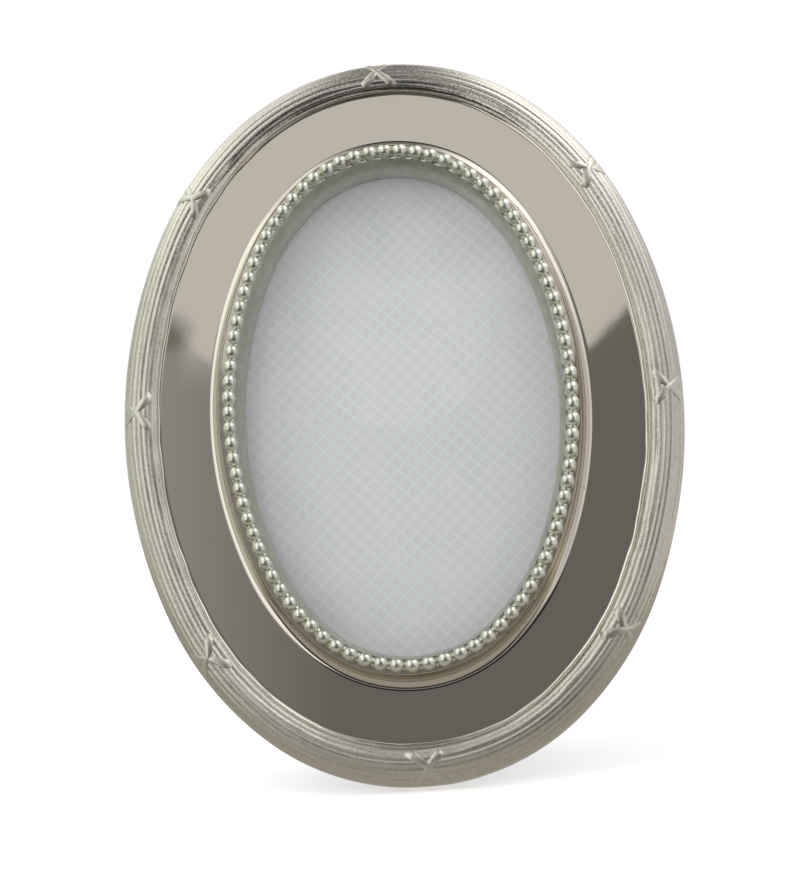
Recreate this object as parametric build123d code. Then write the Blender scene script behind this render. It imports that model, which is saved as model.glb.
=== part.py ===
from build123d import *
import math
import os

# An oval picture frame in plated cast metal, with glass, print and a velvet back
# that stands on a hinged strut. Sizes are in millimetres, angles in degrees.
# Pieces are drawn flat: X to the right, Y up the frame from the middle of the oval,
# Z forward from the plane of the frame's back, with the strut folded. Then the strut
# is opened and everything is leaned back onto its bottom edge and its strut.

# The sight opening, and how its oval is laid out in eight tangent arcs. Its tips are blunter
# and its sides rounder than those of an ellipse, the more so the longer the opening is
sight_width = 93.0
sight_height = 147.0
tip_blunt_share = 31 / 120
middle_radius_share = 1.0
side_round_share = 31 / 450

# Widths of the mouldings, from the sight edge outwards
cove_width = 1.7
lip_width = 0.4
shoulder_wall_run = 0.35
flare_width = 3.4
band_width = 14.5
line_width = 0.8
rim_width = 10.8

# Heights of the mouldings, each above the one it rises from
lip_thickness = 1.0
cove_rise = 10.5
shoulder_lip = 0.5
band_rise = 4.0
line_rise = 0.4
cove_hollow_share = 0.08

# How far the flare at the foot of the shoulder turns before it lies along the band
flare_turn = 80.0

# The reeds of the rim, the plain wall below them and the trough behind
rim_radius = 6.5
reed_count = 7
reed_depth = 0.4
wall_chamfer = 0.8
casting_wall = 2.0
trough_chamfer = 2.1

# The beads: round, on a flat strip that lies on the ledge
bead_count = 88
bead_diameter = 4.1
bead_sink_share = 0.18
bead_overhang = 0.1
bead_clearance = 0.05
strip_width = 2.6
strip_thickness = 0.9

# What lies between the sight edge and the back
glass_thickness = 1.8
print_thickness = 0.25
card_thickness = 0.8
glass_overlap = 4.0
print_inset = 0.5
pocket_clearance = 0.3

# The back: a board with velvet glued over its back and its edge
panel_thickness = 3.0
panel_overlap = 19.9
panel_gap = 0.2
velvet_thickness = 0.5
glue_line = 0.05
ledge_support = 2.0

# The turn buttons, with the washers and screws they turn on
button_count = 4
button_setback = 9.9
button_thickness = 1.0
button_eye_diameter = 7.4
button_tip_diameter = 4.4
button_reach = 8.2
washer_thickness = 0.4
washer_diameter = 6.0
boss_diameter = 7.0
screw_diameter = 2.8
screw_depth = 7.0
screw_head_diameter = 5.2
screw_head_height = 1.2
screw_slot_width = 0.7
screw_slot_depth = 0.6
running_clearance = 0.08

# The strut: a tapered board in a velvet sleeve, hinged to the back
strut_hinge_rise = 40.5
strut_open_angle = 25.0
strut_top_width = 34.0
strut_foot_width = 50.0
strut_corner_radius = 8.0
strut_thickness = 2.7
strut_velvet_thickness = 0.35
strut_back_gap = 1.6

# The hinge of the strut, and the rivets of its two leaves
leaf_thickness = 0.8
leaf_width = 28.6
leaf_length = 12.0
leaf_corner_radius = 2.0
knuckle_radius = 2.0
knuckle_middle = 12.0
knuckle_gap = 0.3
knuckle_relief = 0.6
pin_diameter = 2.0
pin_overhang = 0.8
rivet_diameter = 2.0
rivet_head_diameter = 3.6
rivet_head_height = 0.8
rivet_spread = 16.0
rivet_bite_share = 0.75

# The ribbon that stops the strut, riveted to the back and to the strut
ribbon_width = 8.0
ribbon_thickness = 0.3
ribbon_tab = 8.0
back_anchor_drop = 100.0
strut_anchor_drop = 112.0
stay_rivet_diameter = 1.8
stay_rivet_head_diameter = 4.4
stay_rivet_head_height = 0.6

# How far the frame leans back from upright
lean_angle = 15.0

# One overrun for all cuts
overrun = 1.0

# Distances outwards from the sight edge
bead_line = cove_width + bead_diameter / 2 - bead_overhang
ledge_outer = bead_line + bead_diameter / 2 + bead_clearance
flare_start = ledge_outer + lip_width + shoulder_wall_run
band_inner = flare_start + flare_width
band_outer = band_inner + band_width
rim_inner = band_outer + line_width
outer_edge = rim_inner + rim_width
pocket_edge = glass_overlap + pocket_clearance
panel_pocket_edge = panel_overlap + pocket_clearance

# Heights above the plane of the back
panel_seat = panel_thickness + panel_gap
card_front = panel_seat + card_thickness
print_front = card_front + print_thickness
glass_front = print_front + glass_thickness
sight_edge_height = glass_front + lip_thickness
ledge_height = sight_edge_height + cove_rise
band_height = sight_edge_height + band_rise
flare_height = band_height + flare_width * math.tan(math.radians(flare_turn) / 2)
trough_roof = band_height - casting_wall
button_face = -washer_thickness - running_clearance
screw_face = button_face - button_thickness - running_clearance

# The circle that the grooves between the reeds lie on
groove_radius = rim_radius - reed_depth
rim_centre = outer_edge - rim_radius
rim_centre_height = band_height - math.sqrt(groove_radius**2 - (rim_centre - rim_inner) ** 2)
rim_turn = math.degrees(math.atan2(band_height - rim_centre_height, rim_inner - rim_centre))

# The folded strut and its hinge axis
strut_front = -strut_back_gap
strut_back = strut_front - strut_thickness
hinge_depth = strut_back - leaf_thickness + knuckle_radius
strut_top = strut_hinge_rise - knuckle_radius - knuckle_relief
hinge_axis = Axis((0, strut_hinge_rise, hinge_depth), (1, 0, 0))
panel_leaf_start = strut_hinge_rise + knuckle_radius
strut_leaf_start = strut_hinge_rise - knuckle_radius
back_anchor = strut_hinge_rise - back_anchor_drop
strut_anchor = strut_hinge_rise - strut_anchor_drop

# The table's height when the frame leans on its bottom edge, and the strut that meets it
lean = math.radians(lean_angle)
half_outline = sight_height / 2 + outer_edge
table_height = wall_chamfer * math.sin(lean) - half_outline * math.cos(lean)
strut_slope = math.radians(strut_open_angle - lean_angle)
hinge_above_table = (
    strut_hinge_rise * math.cos(lean) + hinge_depth * math.sin(lean) - table_height
)
strut_reach = hinge_above_table / math.cos(strut_slope)
strut_foot = strut_hinge_rise - strut_reach - strut_thickness * math.tan(strut_slope)


def oval_arcs():
    """Gives centre, radius, start and turn of each arc of the sight edge, anticlockwise."""
    half_width, half_height = sight_width / 2, sight_height / 2
    lengthening = sight_height / sight_width - 1
    tip_radius = (1 + tip_blunt_share * lengthening) * half_width**2 / half_height
    middle_radius = middle_radius_share * math.sqrt(half_width * half_height)
    side_radius = (1 - side_round_share * lengthening) * half_height**2 / half_width
    tip = (0, half_height - tip_radius)
    side = (half_width - side_radius, 0)
    across, up = side[0] - tip[0], side[1] - tip[1]
    span = math.hypot(across, up)
    from_tip, from_side = middle_radius - tip_radius, side_radius - middle_radius
    along = (span**2 + from_tip**2 - from_side**2) / (2 * span)
    offset = math.sqrt(from_tip**2 - along**2)
    middle = (
        tip[0] + (across * along - up * offset) / span,
        tip[1] + (up * along + across * offset) / span,
    )
    side_end = math.degrees(math.atan2(middle[1] - side[1], middle[0] - side[0]))
    middle_end = math.degrees(math.atan2(tip[1] - middle[1], tip[0] - middle[0]))
    middle_turn = middle_end - side_end
    tip_turn = 180 - 2 * middle_end
    return [
        (side, side_radius, -side_end, 2 * side_end),
        (middle, middle_radius, side_end, middle_turn),
        (tip, tip_radius, middle_end, tip_turn),
        ((-middle[0], middle[1]), middle_radius, 180 - middle_end, middle_turn),
        ((-side[0], side[1]), side_radius, 180 - side_end, 2 * side_end),
        ((-middle[0], -middle[1]), middle_radius, 180 + side_end, middle_turn),
        ((tip[0], -tip[1]), tip_radius, 180 + middle_end, tip_turn),
        ((middle[0], -middle[1]), middle_radius, -middle_end, middle_turn),
    ]


def oval_face(distance):
    """Gives the flat oval that lies a distance outside the sight edge."""
    edges = [
        CenterArc(centre, radius + distance, start, turn)
        for centre, radius, start, turn in oval_arcs()
    ]
    return make_face(edges)


def oval_place(distance, length_share):
    """Gives a point at a share of the oval's length from its right side, and its direction."""
    arcs = oval_arcs()
    lengths = [math.radians(turn) * (radius + distance) for _, radius, _, turn in arcs]
    left = (length_share * sum(lengths) + lengths[0] / 2) % sum(lengths)
    arc = 0
    while left > lengths[arc]:
        left -= lengths[arc]
        arc += 1
    centre, radius, start, turn = arcs[arc]
    direction = start + turn * left / lengths[arc]
    x = centre[0] + (radius + distance) * math.cos(math.radians(direction))
    y = centre[1] + (radius + distance) * math.sin(math.radians(direction))
    return x, y, direction


def ring(section):
    """Turns a section, drawn as distance outwards and height, into a ring round the oval."""
    sectors = []
    for centre, radius, start, turn in oval_arcs():
        across = math.cos(math.radians(start))
        up = math.sin(math.radians(start))
        plane = Plane(origin=(*centre, 0), x_dir=(across, up, 0), z_dir=(up, -across, 0))
        axis = Axis((*centre, 0), (0, 0, 1))
        sectors.append(revolve(plane * Pos(radius, 0) * section, axis, turn))
    return sectors[0].fuse(*sectors[1:])


def oval_plate(distance, bottom, top):
    """Gives an oval plate between two heights."""
    return Pos(0, 0, bottom) * extrude(oval_face(distance), top - bottom)


def drum(x, y, bottom, top, diameter):
    """Gives an upright round bar between two heights."""
    return Pos(x, y, (bottom + top) / 2) * Cylinder(diameter / 2, top - bottom)


def block(left, right, low, high, bottom, top):
    """Gives a box between two places along each axis."""
    middle = Pos((left + right) / 2, (low + high) / 2, (bottom + top) / 2)
    return middle * Box(right - left, high - low, top - bottom)


def dome_head(x, y, face, diameter, height, outwards):
    """Gives a low domed head on a face, which rises up or down as outwards is 1 or -1."""
    radius = (diameter**2 / 4 + height**2) / (2 * height)
    ball = Pos(x, y, face + outwards * (height - radius)) * Sphere(radius)
    room = drum(x, y, face - height, face + height, diameter)
    half = Pos(x, y, face + outwards * height / 2) * Box(diameter, diameter, height)
    return ball & room & half


def reeds():
    """Gives the arcs of the reeds, from the raised line over the rim to its outside."""
    step = rim_turn / reed_count
    edges = []
    for reed in range(reed_count):
        points = []
        for radius, part in ((groove_radius, 0), (rim_radius, 1 / 2), (groove_radius, 1)):
            turn = math.radians(rim_turn - step * (reed + part))
            height = rim_centre_height + radius * math.sin(turn)
            points.append((rim_centre + radius * math.cos(turn), height))
        edges.append(ThreePointArc(*points))
    return edges


def swelling_arc(start, end, swell_share):
    """Gives an arc that swells to the left of its way by a share of its span, or is hollow."""
    across, up = end[0] - start[0], end[1] - start[1]
    middle = ((start[0] + end[0]) / 2, (start[1] + end[1]) / 2)
    through = (middle[0] - up * swell_share, middle[1] + across * swell_share)
    return ThreePointArc(start, through, end)


def casting_section():
    """Gives the casting's section, from the sight edge over the front and round the back."""
    sight_point = (0, sight_edge_height)
    lip_height = ledge_height + shoulder_lip
    flare_hollow_share = math.tan(math.radians(flare_turn) / 4) / 2
    band_start = (band_inner, band_height)
    line_start = (band_outer, band_height)
    line_top = (band_outer + line_width / 2, band_height + line_rise)
    front = [
        *Polyline((0, glass_front), sight_point).edges(),
        swelling_arc(sight_point, (cove_width, ledge_height), cove_hollow_share),
        *Polyline(
            (cove_width, ledge_height),
            (ledge_outer, ledge_height),
            (ledge_outer, lip_height),
            (ledge_outer + lip_width, lip_height),
            (flare_start, flare_height),
        ).edges(),
        swelling_arc((flare_start, flare_height), band_start, -flare_hollow_share),
        *Polyline(band_start, line_start).edges(),
        ThreePointArc(line_start, line_top, (rim_inner, band_height)),
        *reeds(),
    ]
    wall_inside = outer_edge - casting_wall
    back = Polyline(
        (rim_centre + groove_radius, rim_centre_height),
        (outer_edge, rim_centre_height - reed_depth),
        (outer_edge, wall_chamfer),
        (outer_edge - wall_chamfer, 0),
        (wall_inside, 0),
        (wall_inside, trough_roof - trough_chamfer),
        (wall_inside - trough_chamfer, trough_roof),
        (panel_pocket_edge + casting_wall, trough_roof),
        (panel_pocket_edge + casting_wall, 0),
        (panel_pocket_edge, 0),
        (panel_pocket_edge, panel_seat),
        (panel_pocket_edge - ledge_support, panel_seat),
        (panel_pocket_edge - ledge_support, trough_roof),
        (pocket_edge + casting_wall, trough_roof),
        (pocket_edge + casting_wall, panel_seat),
        (pocket_edge, panel_seat),
        (pocket_edge, glass_front),
        (0, glass_front),
    )
    return make_face([*front, *back.edges()])


def button_places():
    """Gives each button's place, its direction outwards and the side its arm is turned to."""
    places = []
    for button in range(button_count):
        x, y, outwards = oval_place(outer_edge - button_setback, (button + 1 / 2) / button_count)
        places.append((x, y, outwards, 1 if x * y > 0 else -1))
    return places


def frame_casting():
    """The cast frame, with a boss in its trough for each button's screw."""
    casting = ring(casting_section())
    boss_top = band_height - casting_wall / 2
    hole = screw_diameter + 2 * running_clearance
    for x, y, _, _ in button_places():
        casting += drum(x, y, 0, boss_top, boss_diameter)
        casting -= drum(x, y, -overrun, screw_depth + overrun, hole)
    return casting


def bead_border():
    """The ring of beads, each sunk a little way below the face that its strip lies on."""
    strip_top = ledge_height + strip_thickness
    strip_middle = Pos(bead_line, (ledge_height + strip_top) / 2)
    strip = ring(strip_middle * Rectangle(strip_width, strip_thickness))
    ball = Pos(0, 0, bead_diameter * (1 / 2 - bead_sink_share)) * Sphere(bead_diameter / 2)
    bead = ball & drum(0, 0, 0, bead_diameter, 2 * bead_diameter)
    beads = []
    for number in range(bead_count):
        x, y, _ = oval_place(bead_line, number / bead_count)
        beads.append(Pos(x, y, ledge_height) * bead)
    return strip.fuse(*beads)


def glass_pane():
    """The oval glass behind the sight edge."""
    return oval_plate(glass_overlap, print_front, glass_front)


def print_insert():
    """The paper behind the glass."""
    return oval_plate(glass_overlap - print_inset, card_front, print_front)


def backing_card():
    """The card behind the print."""
    return oval_plate(glass_overlap - print_inset, panel_seat, card_front)


def leaf_rivet_places(start, side):
    """Gives the two rivets of a leaf that runs up or down from a height as side is 1 or -1."""
    height = start + side * leaf_length / 2
    return [(-rivet_spread / 2, height), (rivet_spread / 2, height)]


def back_holes():
    """Gives the blind holes in the back for the rivets of the leaf and of the ribbon."""
    depth = panel_thickness * rivet_bite_share + glue_line
    wide = rivet_diameter + 2 * glue_line
    holes = [drum(x, y, -overrun, depth, wide) for x, y in leaf_rivet_places(panel_leaf_start, 1)]
    holes.append(drum(0, back_anchor, -overrun, depth, stay_rivet_diameter + 2 * glue_line))
    return holes


def back_board():
    """The stiff board of the back."""
    edge = panel_overlap - velvet_thickness - glue_line
    return oval_plate(edge, velvet_thickness, panel_thickness) - back_holes()


def back_velvet():
    """The velvet over the back and round the edge of the board."""
    inside = oval_plate(panel_overlap - velvet_thickness, velvet_thickness, panel_seat)
    return oval_plate(panel_overlap, 0, panel_thickness) - inside - back_holes()


def knuckle_spans():
    """Gives the left and right end of each of the three knuckles."""
    inner = knuckle_middle / 2
    outer = leaf_width / 2
    return [(-outer, -inner - knuckle_gap), (-inner, inner), (inner + knuckle_gap, outer)]


def hinge_bar(left, right, diameter):
    """Gives a round bar along the hinge axis."""
    middle = Pos((left + right) / 2, strut_hinge_rise, hinge_depth)
    return middle * Rot(0, 90, 0) * Cylinder(diameter / 2, right - left)


def drill_leaf(leaf, places, bottom):
    """Cuts a leaf's bore for the pin and its two rivet holes."""
    bore = pin_diameter + 2 * running_clearance
    leaf -= hinge_bar(-leaf_width / 2 - overrun, leaf_width / 2 + overrun, bore)
    wide = rivet_diameter + 2 * glue_line
    for x, y in places:
        leaf -= drum(x, y, bottom - overrun, bottom + leaf_thickness + overrun, wide)
    return leaf


def panel_leaf():
    """The hinge's leaf on the back: a plate above the axis, and the two outer knuckles."""
    half = leaf_width / 2
    end = panel_leaf_start + leaf_length
    plate = block(-half, half, panel_leaf_start, end, -leaf_thickness, 0)
    corners = plate.edges().filter_by(Axis.Z).sort_by(Axis.Y)[-2:]
    leaf = fillet(corners, leaf_corner_radius)
    for left, right in knuckle_spans()[::2]:
        leaf += hinge_bar(left, right, 2 * knuckle_radius)
        web_end = panel_leaf_start + leaf_thickness
        leaf += block(left, right, strut_hinge_rise, web_end, hinge_depth, 0)
    return drill_leaf(leaf, leaf_rivet_places(panel_leaf_start, 1), -leaf_thickness)


def strut_leaf():
    """The hinge's leaf on the strut: a plate below the axis, and the middle knuckle."""
    half = leaf_width / 2
    end = strut_leaf_start - leaf_length
    bottom = strut_back - leaf_thickness
    plate = block(-half, half, end, strut_leaf_start, bottom, strut_back)
    corners = plate.edges().filter_by(Axis.Z).sort_by(Axis.Y)[:2]
    leaf = fillet(corners, leaf_corner_radius)
    left, right = knuckle_spans()[1]
    leaf += block(left, right, end, strut_hinge_rise, bottom, strut_back)
    leaf += hinge_bar(left, right, 2 * knuckle_radius)
    return drill_leaf(leaf, leaf_rivet_places(strut_leaf_start, -1), bottom)


def hinge_pin():
    """The pin through the knuckles, with its ends standing out."""
    end = leaf_width / 2 + pin_overhang
    pin = hinge_bar(-end, end, pin_diameter)
    ends = pin.edges().filter_by(GeomType.CIRCLE)
    return chamfer(ends, pin_overhang / 2)


def rivets(places, face, outwards, thickness, diameter, head_diameter, head_height):
    """Gives rivets that pass a thickness below a face and bite into what lies under it."""
    solids = []
    for x, y in places:
        ends = sorted((face, face - outwards * thickness))
        head = dome_head(x, y, face, head_diameter, head_height, outwards)
        solids.append(head + drum(x, y, *ends, diameter))
    return solids


def panel_leaf_rivets():
    """The two rivets that hold the leaf on the back."""
    bite = leaf_thickness + panel_thickness * rivet_bite_share
    places = leaf_rivet_places(panel_leaf_start, 1)
    face = -leaf_thickness
    return rivets(places, face, -1, bite, rivet_diameter, rivet_head_diameter, rivet_head_height)


def strut_leaf_rivets():
    """The two rivets that hold the leaf on the strut."""
    bite = leaf_thickness + strut_thickness * rivet_bite_share
    places = leaf_rivet_places(strut_leaf_start, -1)
    face = strut_back - leaf_thickness
    return rivets(places, face, -1, bite, rivet_diameter, rivet_head_diameter, rivet_head_height)


def stay_rivet(anchor, surface, outwards, board_thickness):
    """Gives the rivet that holds one end of the ribbon on a surface."""
    tape = ribbon_thickness + 2 * glue_line
    bite = tape + board_thickness * rivet_bite_share
    face = surface + outwards * tape
    sizes = (stay_rivet_diameter, stay_rivet_head_diameter, stay_rivet_head_height)
    return rivets([(0, anchor)], face, outwards, bite, *sizes)[0]


def strut_outline(inset):
    """Gives the strut's outline, widening to its foot, whose corners are rounded."""
    half_top, half_foot = strut_top_width / 2 - inset, strut_foot_width / 2 - inset
    top, foot = strut_top, strut_foot + inset
    corners = [(-half_foot, foot), (half_foot, foot), (half_top, top), (-half_top, top)]
    outline = make_face(Polyline(*corners, close=True))
    rounded = outline.vertices().sort_by(Axis.Y)[:2]
    return fillet(rounded, strut_corner_radius - inset)


def strut_plate(inset, bottom, top):
    """Gives a plate of the strut's outline between two heights."""
    return Pos(0, 0, bottom) * extrude(strut_outline(inset), top - bottom)


def strut_holes():
    """Gives the blind holes in the strut for the rivets of the leaf and of the ribbon."""
    depth = strut_thickness * rivet_bite_share + glue_line
    wide = rivet_diameter + 2 * glue_line
    holes = []
    for x, y in leaf_rivet_places(strut_leaf_start, -1):
        holes.append(drum(x, y, strut_back - overrun, strut_back + depth, wide))
    wide = stay_rivet_diameter + 2 * glue_line
    holes.append(drum(0, strut_anchor, strut_front - depth, strut_front + overrun, wide))
    return holes


def table_block(height):
    """Gives what lies below a height above the table, in the flat frame's axes."""
    size = 2 * (sight_height + strut_reach)
    below = Pos(0, 0, table_height + height - size / 2) * Box(size, size, size)
    return lean_location.inverse() * below


def strut_board():
    """The board inside the strut's velvet."""
    bottom = strut_back + strut_velvet_thickness
    top = strut_front - strut_velvet_thickness
    board = strut_plate(strut_velvet_thickness + glue_line, bottom, top) - strut_holes()
    return opened(board) - table_block(strut_velvet_thickness + glue_line)


def strut_velvet():
    """The velvet sleeve of the strut, open at the hinge, cut flat where it stands."""
    sleeve = strut_plate(0, strut_back, strut_front)
    bottom = strut_back + strut_velvet_thickness
    top = strut_front - strut_velvet_thickness
    inside = strut_plate(strut_velvet_thickness, bottom, top)
    inside = opened(inside) - table_block(strut_velvet_thickness)
    past_top = block(
        -strut_top_width / 2 + strut_velvet_thickness,
        strut_top_width / 2 - strut_velvet_thickness,
        strut_top - strut_velvet_thickness,
        strut_top + overrun,
        bottom,
        top,
    )
    sleeve = opened(sleeve - strut_holes() - past_top) - table_block(0)
    return sleeve - inside


def ribbon_stay():
    """The ribbon, flat on the back and on the open strut and straight between them."""
    half_tab = ribbon_tab / 2
    on_back = -glue_line - ribbon_thickness / 2
    on_strut = strut_front + glue_line + ribbon_thickness / 2
    points = [(back_anchor + half_tab, on_back), (back_anchor - half_tab, on_back)]
    points += [
        opened_point(strut_anchor + half_tab, on_strut),
        opened_point(strut_anchor - half_tab, on_strut),
    ]
    tape = trace(Polyline(*points), line_width=ribbon_thickness)
    ribbon = extrude(Plane.YZ * tape, ribbon_width / 2, both=True)
    wide = stay_rivet_diameter + 2 * glue_line
    deep = ribbon_tab / 4
    ribbon -= drum(0, back_anchor, -deep, deep, wide)
    hole = drum(0, strut_anchor, strut_front - deep, strut_front + deep, wide)
    return ribbon - opened(hole)


def turn_button(x, y, outwards, side):
    """A flat button, turned along the rim, clear of the back."""
    eye = Circle(button_eye_diameter / 2)
    tip = Pos(button_reach, 0) * Circle(button_tip_diameter / 2)
    outline = make_hull([*eye.edges(), *tip.edges()])
    hole = Circle(screw_diameter / 2 + running_clearance)
    button = extrude(outline - hole, button_thickness)
    return Pos(x, y, button_face - button_thickness) * Rot(0, 0, outwards + side * 90) * button


def button_washer(x, y):
    """A flat washer between a boss and its button."""
    hole = screw_diameter + 2 * running_clearance
    washer = drum(x, y, -washer_thickness, 0, washer_diameter)
    return washer - drum(x, y, -washer_thickness - overrun, overrun, hole)


def button_screw(x, y, outwards):
    """A slotted screw that holds a button, its slot in line with the button's way out."""
    head = drum(0, 0, -screw_head_height, 0, screw_head_diameter)
    rim = head.faces().sort_by(Axis.Z)[0].edges()
    head = fillet(rim, screw_head_height / 4)
    slot = Pos(0, 0, -screw_head_height) * Box(
        screw_head_diameter + overrun, screw_slot_width, 2 * screw_slot_depth
    )
    head = Pos(x, y, screw_face) * Rot(0, 0, outwards) * (head - slot)
    return head + drum(x, y, screw_face, screw_depth, screw_diameter)


def opened(shape):
    """Turns a piece of the folded strut to where it stands open."""
    return shape.rotate(hinge_axis, strut_open_angle)


def opened_point(rise, depth):
    """Turns a point of the folded strut, seen from the side, to where it stands open."""
    turn = math.radians(strut_open_angle)
    up, forward = rise - strut_hinge_rise, depth - hinge_depth
    return (
        strut_hinge_rise + up * math.cos(turn) - forward * math.sin(turn),
        hinge_depth + up * math.sin(turn) + forward * math.cos(turn),
    )


lean_plane = Plane(
    origin=(0, 0, 0), x_dir=(1, 0, 0), z_dir=(0, -math.cos(lean), math.sin(lean))
)
lean_location = lean_plane.location

# Every piece in its place on the flat frame, with the strut open
back_stay = stay_rivet(back_anchor, 0, -1, panel_thickness)
strut_stay = stay_rivet(strut_anchor, strut_front, 1, strut_thickness)
pieces = {
    "frame_casting": frame_casting(),
    "bead_border": bead_border(),
    "glass_pane": glass_pane(),
    "print_insert": print_insert(),
    "backing_card": backing_card(),
    "back_board": back_board(),
    "back_velvet": back_velvet(),
    "panel_leaf": panel_leaf(),
    "panel_leaf_rivets": Compound(children=panel_leaf_rivets()),
    "panel_stay_rivet": back_stay,
    "hinge_pin": hinge_pin(),
    "strut_leaf": opened(strut_leaf()),
    "strut_leaf_rivets": opened(Compound(children=strut_leaf_rivets())),
    "strut_stay_rivet": opened(strut_stay),
    "strut_board": strut_board(),
    "strut_velvet": strut_velvet(),
    "ribbon_stay": ribbon_stay(),
    "button_washers": Compound(children=[button_washer(x, y) for x, y, _, _ in button_places()]),
    "button_screws": Compound(
        children=[button_screw(x, y, outwards) for x, y, outwards, _ in button_places()]
    ),
}
for number, place in enumerate(button_places(), start=1):
    pieces[f"turn_button_{number}"] = turn_button(*place)

# Lean everything back, and stand it on the table with the origin under its middle
leaned = {name: lean_location * piece for name, piece in pieces.items()}
boxes = [piece.bounding_box() for piece in leaned.values()]
middle = (min(box.min.Y for box in boxes) + max(box.max.Y for box in boxes)) / 2
stand = Pos(0, -middle, -table_height)

os.makedirs("parts", exist_ok=True)
for name, piece in leaned.items():
    export_step(stand * piece, f"parts/{name}.step")


def row_place(x, y, z):
    """Gives where a point of the flat frame lies on the standing object, in metres."""
    place = (stand * lean_location * Pos(x, y, z)).position
    return [round(value / 1000, 5) for value in place]


print("strut hinge", row_place(0, strut_hinge_rise, hinge_depth))
print("strut foot", row_place(0, *opened_point(strut_foot, strut_front)))
print("way out of the back", [0, round(math.cos(lean), 5), round(-math.sin(lean), 5)])
for number, (x, y, _, _) in enumerate(button_places(), start=1):
    print("turn button", number, row_place(x, y, button_face))
for height in (-1 / 3, 0, 1 / 3):
    print("glass at share", round(height, 2), row_place(0, height * sight_height, glass_front))
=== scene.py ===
import math
import random

import bpy
from mathutils import Matrix, Vector


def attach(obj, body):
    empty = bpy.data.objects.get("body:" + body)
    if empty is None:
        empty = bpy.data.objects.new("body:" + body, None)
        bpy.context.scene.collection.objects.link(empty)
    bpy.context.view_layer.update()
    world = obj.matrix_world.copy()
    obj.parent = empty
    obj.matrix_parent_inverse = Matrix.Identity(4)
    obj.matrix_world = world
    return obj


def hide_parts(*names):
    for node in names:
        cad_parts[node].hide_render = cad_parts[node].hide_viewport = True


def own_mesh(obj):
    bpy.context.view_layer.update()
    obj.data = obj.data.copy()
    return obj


# The looks of a standing oval picture frame. Sizes are in metres, angles in degrees.
# New pieces are modelled flat, as the frame would lie on its back: X to the right,
# Y up the face from the middle of the oval, Z forward from the plane of the back.
# Then they are leaned back onto the frame that the model gives.

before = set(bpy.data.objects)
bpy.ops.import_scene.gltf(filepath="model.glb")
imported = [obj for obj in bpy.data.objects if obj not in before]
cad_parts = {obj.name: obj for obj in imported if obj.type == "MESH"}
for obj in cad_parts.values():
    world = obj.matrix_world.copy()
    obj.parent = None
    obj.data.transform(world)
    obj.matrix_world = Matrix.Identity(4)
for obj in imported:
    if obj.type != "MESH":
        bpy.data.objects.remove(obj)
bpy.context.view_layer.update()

# The sight opening, and how its oval is laid out in eight tangent arcs. Its tips are blunter
# and its sides rounder than those of an ellipse, the more so the longer the opening is
sight_width = 0.093
sight_height = 0.147
tip_blunt_share = 31 / 120
middle_radius_share = 1.0
side_round_share = 31 / 450

# Distances outwards from the sight edge
cove_outer = 0.0017
bead_line = 0.00365
ledge_outer = 0.00575
lip_outer = 0.00615
flare_start = 0.0065
band_inner = 0.0099
band_outer = 0.0253
line_outer = 0.0262
outer_edge = 0.036
panel_edge = 0.0199

# Heights above the plane of the back
panel_front = 0.003
panel_seat = 0.0032
glass_front = 0.00605
sight_edge = 0.00705
ledge_height = 0.01755
band_height = 0.01105
trough_roof = 0.00905

# The rim's reeds, whose grooves lie on a round that would meet the band at rim_start
rim_radius = 0.0065
rim_start = 0.0252
reed_count = 7
reed_depth = 0.0004
worn_reed_depth = 0.00024
groove_radius = rim_radius - reed_depth
rim_centre = outer_edge - rim_radius
rim_centre_height = band_height - math.sqrt(groove_radius**2 - (rim_centre - rim_start) ** 2)
line_turn = math.degrees(math.acos((line_outer - rim_centre) / groove_radius))

# How the frame leans, and where the middle of its back plane stands
lean_angle = 15.0
stand_depth = 0.000084
stand_height = 0.10556

# The folded strut on the flat frame, its hinge, and how far it stands open
strut_front = -0.0016
strut_back = -0.0043
strut_hinge_rise = 0.0405
strut_hinge_depth = -0.0031
strut_open_angle = 25.0


def oval_arcs():
    """Gives centre, radius, start and turn of each arc of the sight edge, anticlockwise."""
    half_width, half_height = sight_width / 2, sight_height / 2
    lengthening = sight_height / sight_width - 1
    tip_radius = (1 + tip_blunt_share * lengthening) * half_width**2 / half_height
    middle_radius = middle_radius_share * math.sqrt(half_width * half_height)
    side_radius = (1 - side_round_share * lengthening) * half_height**2 / half_width
    tip = (0, half_height - tip_radius)
    side = (half_width - side_radius, 0)
    across, up = side[0] - tip[0], side[1] - tip[1]
    span = math.hypot(across, up)
    from_tip, from_side = middle_radius - tip_radius, side_radius - middle_radius
    along = (span**2 + from_tip**2 - from_side**2) / (2 * span)
    offset = math.sqrt(from_tip**2 - along**2)
    middle = (
        tip[0] + (across * along - up * offset) / span,
        tip[1] + (up * along + across * offset) / span,
    )
    side_end = math.degrees(math.atan2(middle[1] - side[1], middle[0] - side[0]))
    middle_end = math.degrees(math.atan2(tip[1] - middle[1], tip[0] - middle[0]))
    middle_turn = middle_end - side_end
    tip_turn = 180 - 2 * middle_end
    return [
        (side, side_radius, -side_end, 2 * side_end),
        (middle, middle_radius, side_end, middle_turn),
        (tip, tip_radius, middle_end, tip_turn),
        ((-middle[0], middle[1]), middle_radius, 180 - middle_end, middle_turn),
        ((-side[0], side[1]), side_radius, 180 - side_end, 2 * side_end),
        ((-middle[0], -middle[1]), middle_radius, 180 + side_end, middle_turn),
        ((tip[0], -tip[1]), tip_radius, 180 + middle_end, tip_turn),
        ((middle[0], -middle[1]), middle_radius, -middle_end, middle_turn),
    ]


def arc_lengths(distance):
    """Gives the length of each arc at a distance outside the sight edge."""
    return [math.radians(turn) * (radius + distance) for _, radius, _, turn in oval_arcs()]


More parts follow.
